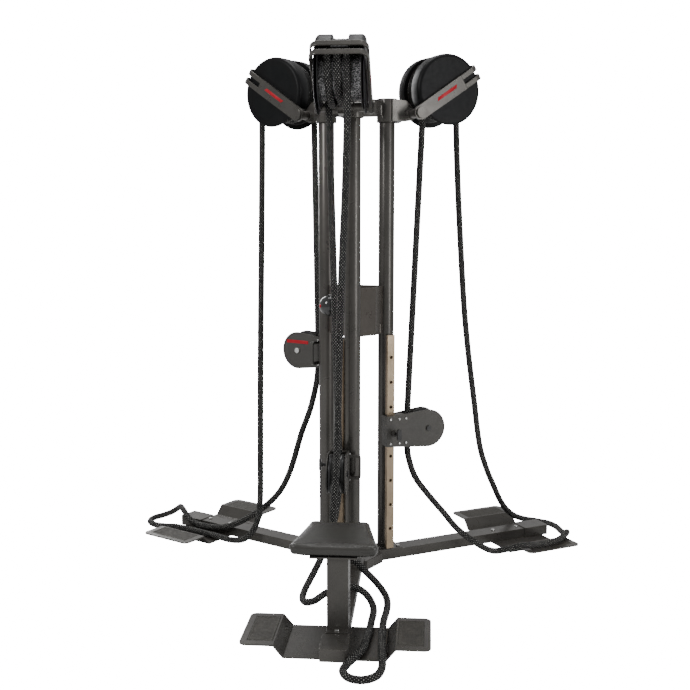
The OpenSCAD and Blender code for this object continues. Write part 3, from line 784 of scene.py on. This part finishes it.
def add_grips(station):
    """Two mats with a raised lip and rows of small domes, in the pockets of a foot plate."""
    nx, ny = round(GRIP_W / GRIP_STEP), round(GRIP_L / GRIP_STEP)
    for side, sign in (("a", -1), ("b", 1)):
        vertices = []
        for j in range(ny + 1):
            for i in range(nx + 1):
                x, y = (i / nx - 0.5) * GRIP_W, (j / ny - 0.5) * GRIP_L
                edge = min(GRIP_W / 2 - abs(x), GRIP_L / 2 - abs(y))
                row = math.floor(y / DOME_PITCH)
                across = abs(math.cos(math.pi * (x / DOME_PITCH + 0.5 * (row % 2))))
                dome = across * abs(math.cos(math.pi * (y / DOME_PITCH)))
                if edge > GRIP_EDGE:
                    height = DOME_H * dome**DOME_FULLNESS
                else:
                    height = GRIP_LIP * min(1, edge / LIP_SLOPE)
                vertices.append((x, y, GRIP_FACE + height))
        faces = []
        for j in range(ny):
            for i in range(nx):
                a = j * (nx + 1) + i
                faces.append([a, a + 1, a + nx + 2, a + nx + 1])
        top = len(vertices)
        rim = list(range(nx + 1))
        rim += [j * (nx + 1) + nx for j in range(1, ny + 1)]
        rim += [ny * (nx + 1) + i for i in range(nx - 1, -1, -1)]
        rim += [j * (nx + 1) for j in range(ny - 1, 0, -1)]
        for i in rim:
            vertices.append((vertices[i][0], vertices[i][1], GRIP_LOW))
        for k in range(len(rim)):
            n = (k + 1) % len(rim)
            faces.append([rim[k], top + k, top + n, rim[n]])
        faces.append([top + k for k in reversed(range(len(rim)))])
        place = turn(station) @ Matrix.Translation((sign * GRIP_REACH, FOOT_Y, WING_TOP))
        mat = new_object(f"grip_mat_{station}_{side}", vertices, faces, RUBBER, place)
        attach(mat, "frame")
        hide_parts("foot_grips")


# ------------------------------------------------------------------ small hardware


# Head of a cap screw: radius and height of each ring
CAP_SCREW = [
    (0.0046, 0.0), (0.0046, 0.0038), (0.0040, 0.0046),
    (0.0028, 0.0046), (0.0026, 0.0042), (0.0026, 0.0016),
]


def axle_height(station):
    """Height of a carriage's axle."""
    low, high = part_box(f"sheave_{station}")
    return (low.z + high.z) / 2


def add_carriage_screws(station):
    """Cap screws in two rows on both cheeks of a carriage."""
    middle = axle_height(station)
    head = lathe(CAP_SCREW, 24, socket=(4, 5))
    parts = []
    for z in SCREW_Z:
        for y in LEFT_SCREW_Y:
            parts.append((*head, turn(station) @ along_x(CHEEK_LEFT, y, middle + z, -1)))
        parts.append((*head, turn(station) @ along_x(CHEEK_RIGHT, RIGHT_SCREW_Y, middle + z, 1)))
    screws = joined(f"carriage_screws_{station}", parts, STEEL)
    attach(screws, f"carriage_{station}")


def bar(length, width, thick, slope):
    """A thin bar with its two ends cut at a slant."""
    x, y = length / 2, width / 2
    flat = [(-x - slope, -y), (x - slope, -y), (x + slope, y), (-x + slope, y)]
    vertices = [(a, b, 0) for a, b in flat] + [(a, b, thick - BAR_EDGE) for a, b in flat]
    vertices += [(a * 0.992, b * 0.94, thick) for a, b in flat]
    faces = [[3, 2, 1, 0], [8, 9, 10, 11]]
    for low in (0, 4):
        for i in range(4):
            j = (i + 1) % 4
            faces.append([low + i, low + j, low + 4 + j, low + 4 + i])
    return vertices, faces


def add_arm_details(station):
    """A plain red bar on the outside of each arm plate, and weld beads at the cross tube."""
    mark, beads = bar(*ARM_BAR), torus(0.0192, 0.0026, 0.10, 26)
    marks, welds = [], []
    for sign in (-1, 1):
        face = DRUM_X + sign * ARM_FACE
        on_arm = (
            turn(station)
            @ Matrix.Translation((face, ARM_Y, ARM_Z))
            @ Matrix.Rotation(-math.radians(ARM_ANGLE), 4, "X")
            @ Matrix.Translation(ARM_BAR_PLACE)
            @ Matrix.Rotation(math.pi / 2, 4, "Z")
            @ Matrix.Rotation(sign * math.pi / 2, 4, "X")
        )
        marks.append((*mark, on_arm))
        inner = DRUM_X + sign * (ARM_FACE - ARM_T)
        welds.append((*beads, turn(station) @ along_x(inner, ARM_Y, ARM_Z)))
    for x in CROSS_WELDS_X:
        welds.append((*beads, turn(station) @ along_x(x, ARM_Y, ARM_Z)))
    plates = joined(f"arm_bars_{station}", marks, RED)
    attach(plates, "frame")
    welded = joined(f"arm_welds_{station}", welds, PAINT)
    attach(welded, "frame")


def add_cheek_bar(station):
    """A plain red bar on a carriage's cheek, above its axle."""
    middle = axle_height(station)
    place = (
        turn(station)
        @ Matrix.Translation((CHEEK_RIGHT, SHEAVE_Y, middle + CHEEK_BAR_Z))
        @ Matrix.Rotation(math.pi / 2, 4, "Z")
        @ Matrix.Rotation(math.pi / 2, 4, "X")
    )
    mark = joined(f"cheek_bar_{station}", [(*bar(*CHEEK_BAR), place)], RED)
    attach(mark, f"carriage_{station}")


def add_barrel(station):
    """A knurled sleeve on the drum, under the rope's turns."""
    vertices = []
    for row in range(SLEEVE_ROWS + 1):
        x = (row / SLEEVE_ROWS * 2 - 1) * SLEEVE_HALF
        for i in range(SLEEVE_TEETH):
            a = math.tau * i / SLEEVE_TEETH
            knurl = 0.5 + 0.5 * math.cos(math.pi * (i + row)) * (1 if 0 < row < SLEEVE_ROWS else 0)
            r = SLEEVE_INNER_R + (SLEEVE_OUTER_R - SLEEVE_INNER_R) * knurl
            vertices.append((x, r * math.cos(a), r * math.sin(a)))
    faces = wall_faces(SLEEVE_ROWS + 1, SLEEVE_TEETH)
    place = turn(station) @ Matrix.Translation((DRUM_X, DRUM_Y, DRUM_Z))
    sleeve = new_object(f"barrel_sleeve_{station}", vertices, faces, BARREL, place)
    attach(sleeve, f"drum_{station}")


def add_cover_details(station):
    """Ribs round the middle of the drum cover."""
    place = turn(station) @ Matrix.Translation((DRUM_X, DRUM_Y, DRUM_Z))
    parts = []
    for offset, thick in RIBS:
        vertices = []
        for i in range(RIB_STEPS + 1):
            a = math.radians(RIB_FROM + (RIB_TO - RIB_FROM) * i / RIB_STEPS)
            for j in range(RIB_SIDES):
                b = math.tau * j / RIB_SIDES
                r = RIB_R + thick * math.cos(b)
                vertices.append((offset + thick * math.sin(b), -r * math.cos(a), r * math.sin(a)))
        faces = wall_faces(RIB_STEPS + 1, RIB_SIDES)
        faces.append(list(range(RIB_SIDES)))
        faces.append([RIB_STEPS * RIB_SIDES + j for j in reversed(range(RIB_SIDES))])
        parts.append((vertices, faces, place))
    ribs = joined(f"cover_ribs_{station}", parts, BAND)
    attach(ribs, "frame")


def add_column_details():
    """Weld beads at the foot of each column, and a plastic plug in its top."""
    bead = torus(COLUMN_R + 0.0018, 0.0034, 0.10, 40, 160)
    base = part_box("column_front")[0].z + COLUMN_WELD_Z
    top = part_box("column_front")[1].z
    profile = [
        (COLUMN_R - 0.0008, 0.0), (COLUMN_R - 0.0008, 0.0016),
        (COLUMN_R - 0.003, 0.0032), (0.012, 0.0044),
    ]
    plug = lathe(profile, 64)
    beads, plugs = [], []
    for station in STATIONS:
        beads.append((*bead, turn(station) @ Matrix.Translation((0, COLUMN_Y, base))))
        plugs.append((*plug, turn(station) @ Matrix.Translation((0, COLUMN_Y, top))))
    welds = joined("column_welds", beads, PAINT)
    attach(welds, "frame")
    caps = joined("column_plugs", plugs, SHELL)
    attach(caps, "frame")


def add_knob_details():
    """A knurled collar and a small red cap on the tension knob."""
    place = Matrix.Rotation(math.radians(KNOB_ANGLE), 4, "Z") @ Matrix.Translation(KNOB_PLACE)
    place = place @ Matrix.Rotation(math.pi / 2, 4, "X")
    collar = lathe([(0.0425, 0.0085), (0.0436, 0.0095), (0.0436, 0.0125), (0.0422, 0.0138)], 72)
    ring = joined("knob_collar", [(*collar, place)], OXIDE)
    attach(ring, "frame")
    cap = lathe([(0.0075, 0.0530), (0.0075, 0.0542), (0.006, 0.0549), (0.002, 0.0552)], 40)
    dot = joined("knob_cap", [(*cap, place)], RED)
    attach(dot, "frame")


# ------------------------------------------------------------------ stage


def add_camera():
    camera = bpy.data.objects.new("camera", bpy.data.cameras.new("camera"))
    camera.data.lens = 52.3
    camera.data.sensor_width = 36
    camera.location = (0.2933, -3.9694, 1.4378)
    camera.rotation_euler = (math.radians(82.4), 0, math.radians(4.8))
    bpy.context.scene.collection.objects.link(camera)
    bpy.context.scene.camera = camera


def add_light(name, place, target, size, power):
    lamp = bpy.data.lights.new(name, "AREA")
    lamp.shape = "RECTANGLE"
    lamp.size, lamp.size_y = size
    lamp.energy = power
    obj = bpy.data.objects.new(name, lamp)
    obj.location = place
    obj.rotation_euler = (Vector(target) - Vector(place)).to_track_quat("-Z", "Y").to_euler()
    bpy.context.scene.collection.objects.link(obj)


def add_stage():
    """A pale floor, a pale world and four soft lights."""
    r = FLOOR_REACH
    corners = [(-r, -r, 0), (r, -r, 0), (r, r, 0), (-r, r, 0)]
    floor = new_object("floor", corners, [[0, 1, 2, 3]], pale_floor(), smooth=False)
    world = bpy.data.worlds.new("studio")
    world.use_nodes = True
    sky = world.node_tree.nodes["Background"]
    sky.inputs["Color"].default_value = (1.0, 1.0, 1.0, 1)
    seen = world.node_tree.nodes.new("ShaderNodeLightPath").outputs["Is Camera Ray"]
    shade = world.node_tree.nodes.new("ShaderNodeMapRange")
    shade.inputs["To Min"].default_value = AMBIENT
    shade.inputs["To Max"].default_value = BACKGROUND
    world.node_tree.links.new(seen, shade.inputs["Value"])
    world.node_tree.links.new(shade.outputs["Result"], sky.inputs["Strength"])
    bpy.context.scene.world = world
    add_light("key", (-3.0, -3.4, 3.8), (0, 0, 1.0), (1.2, 1.6), 170)
    add_light("strip", (3.4, -2.2, 1.8), (0, 0, 1.0), (0.5, 2.8), 90)
    add_light("top", (0.2, 0.6, 4.6), (0, 0, 1.2), (2.0, 2.0), 85)
    add_light("back", (-2.2, 3.4, 2.6), (0, 0, 1.0), (0.8, 2.4), 70)


add_camera()
for station in STATIONS:
    add_rope(station)
for name, obj in nodes.items():
    finish_node(name, obj)
add_seat()
for station in STATIONS:
    add_grips(station)
    add_carriage_screws(station)
    add_arm_details(station)
    add_barrel(station)
    add_cover_details(station)
add_cheek_bar("left")
add_column_details()
add_knob_details()
add_stage()

bpy.context.view_layer.update()
